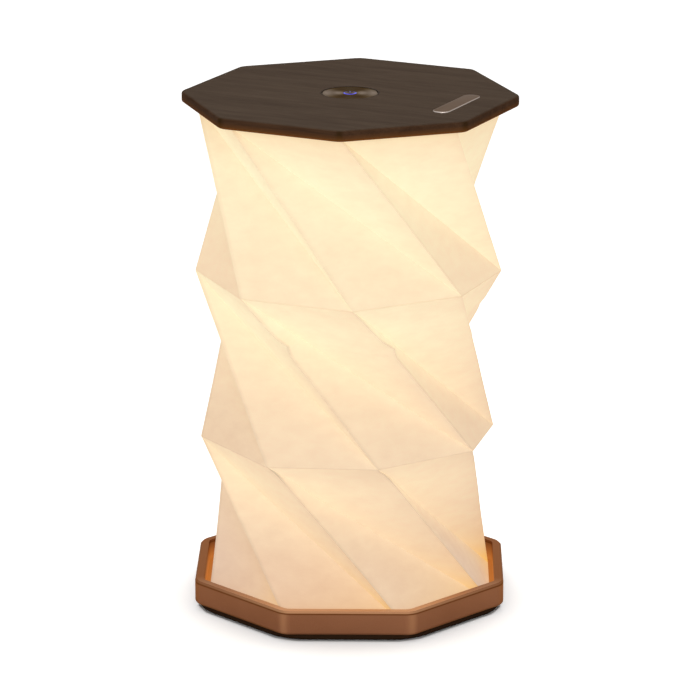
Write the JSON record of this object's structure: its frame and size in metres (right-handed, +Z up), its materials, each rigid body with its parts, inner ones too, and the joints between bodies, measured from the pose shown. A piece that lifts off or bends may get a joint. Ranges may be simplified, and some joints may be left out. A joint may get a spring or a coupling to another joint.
{
  "type": "portable folding table lamp",
  "caption": "Cordless table lamp with a twisted folding paper shade between an octagonal wooden lid and a copper-coloured tray; it presses flat for carrying.",
  "frame": {"origin": "centre of the footprint, on the surface that the foot pads stand on", "axes": "+Z up, -Y towards the flat of the tray that faces the viewer, +X to the viewer's right"},
  "size_m": [0.161, 0.161, 0.251],
  "materials": {
    "foot_rubber": "matte",
    "base_walnut": "oiled, dark",
    "lid_walnut": "oiled, satin",
    "copper_anodised": "blasted and anodised, satin",
    "shade_paper": "matte, translucent",
    "frame_white": "moulded",
    "screw_steel": "bright",
    "magnet_nickel": "nickel plated",
    "inlay_steel": "fine brushed",
    "bezel_black": "satin black",
    "button_steel": "turned",
    "guide_acrylic": "clear, lit",
    "ring_silicone": "matte",
    "switch_black": "moulded",
    "led_lens": "clear",
    "board_green": "solder mask",
    "led_board_white": "white solder mask",
    "battery_foil": "foil pouch",
    "pin_brass": "bright",
    "diffuser_opal": "opal",
    "socket_steel": "plain",
    "lead_amber": "flat ribbon"
  },
  "bodies": {
    "base": {"foot_pads": "foot_rubber", "base_plate": "base_walnut", "base_tray": "copper_anodised", "base_screws": "screw_steel", "base_magnets": "magnet_nickel", "shade_bottom_frame": "frame_white", "shade_lower_tier": "shade_paper"},
    "shade_middle": {"shade_middle_tier": "shade_paper"},
    "shade_upper": {"shade_upper_tier": "shade_paper"},
    "lid": {"lid_panel": "lid_walnut", "inlay_plate": "inlay_steel", "button_bezel": "bezel_black", "return_ring": "ring_silicone", "tact_switch": "switch_black", "status_led": "led_lens", "control_board": "board_green", "battery_cell": "battery_foil", "board_pins": "pin_brass", "led_board": "led_board_white", "leds": "led_lens", "diffuser": "diffuser_opal", "module_housing": "frame_white", "housing_screws": "screw_steel", "charge_socket": "socket_steel", "charge_board": "board_green", "charge_lead": "lead_amber", "shade_top_frame": "frame_white", "top_frame_screws": "screw_steel", "lid_magnets": "magnet_nickel"},
    "button": {"button_cap": "button_steel", "button_light_guide": "guide_acrylic", "switch_plunger": "frame_white"}
  },
  "joints": [
    {"name": "lower_twist", "type": "hinge", "parent": "base", "child": "shade_middle", "pos_m": [0, 0, 0.0834], "axis": [0, 0, -1], "range_deg": [0, 72.3]},
    {"name": "upper_twist", "type": "hinge", "parent": "shade_middle", "child": "shade_upper", "pos_m": [0, 0, 0.1641], "axis": [0, 0, -1], "range_deg": [0, 37.7]},
    {"name": "lid_drop", "type": "slide", "parent": "shade_upper", "child": "lid", "axis": [0, 0, -1], "range_m": [0, 0.2297], "deforming": ["shade_lower_tier", "shade_middle_tier", "shade_upper_tier"]},
    {"name": "button_press", "type": "slide", "parent": "lid", "child": "button", "axis": [0, 0, -1], "range_m": [0, 0.0005], "stiffness_N_per_m": 800, "springref_m": -0.001, "deforming": ["return_ring"]}
  ],
  "couplings": [
    {"joint": "lower_twist", "follows": "lid_drop", "rad_per_m": 5.4854},
    {"joint": "upper_twist", "follows": "lid_drop", "rad_per_m": 2.8575}
  ]
}
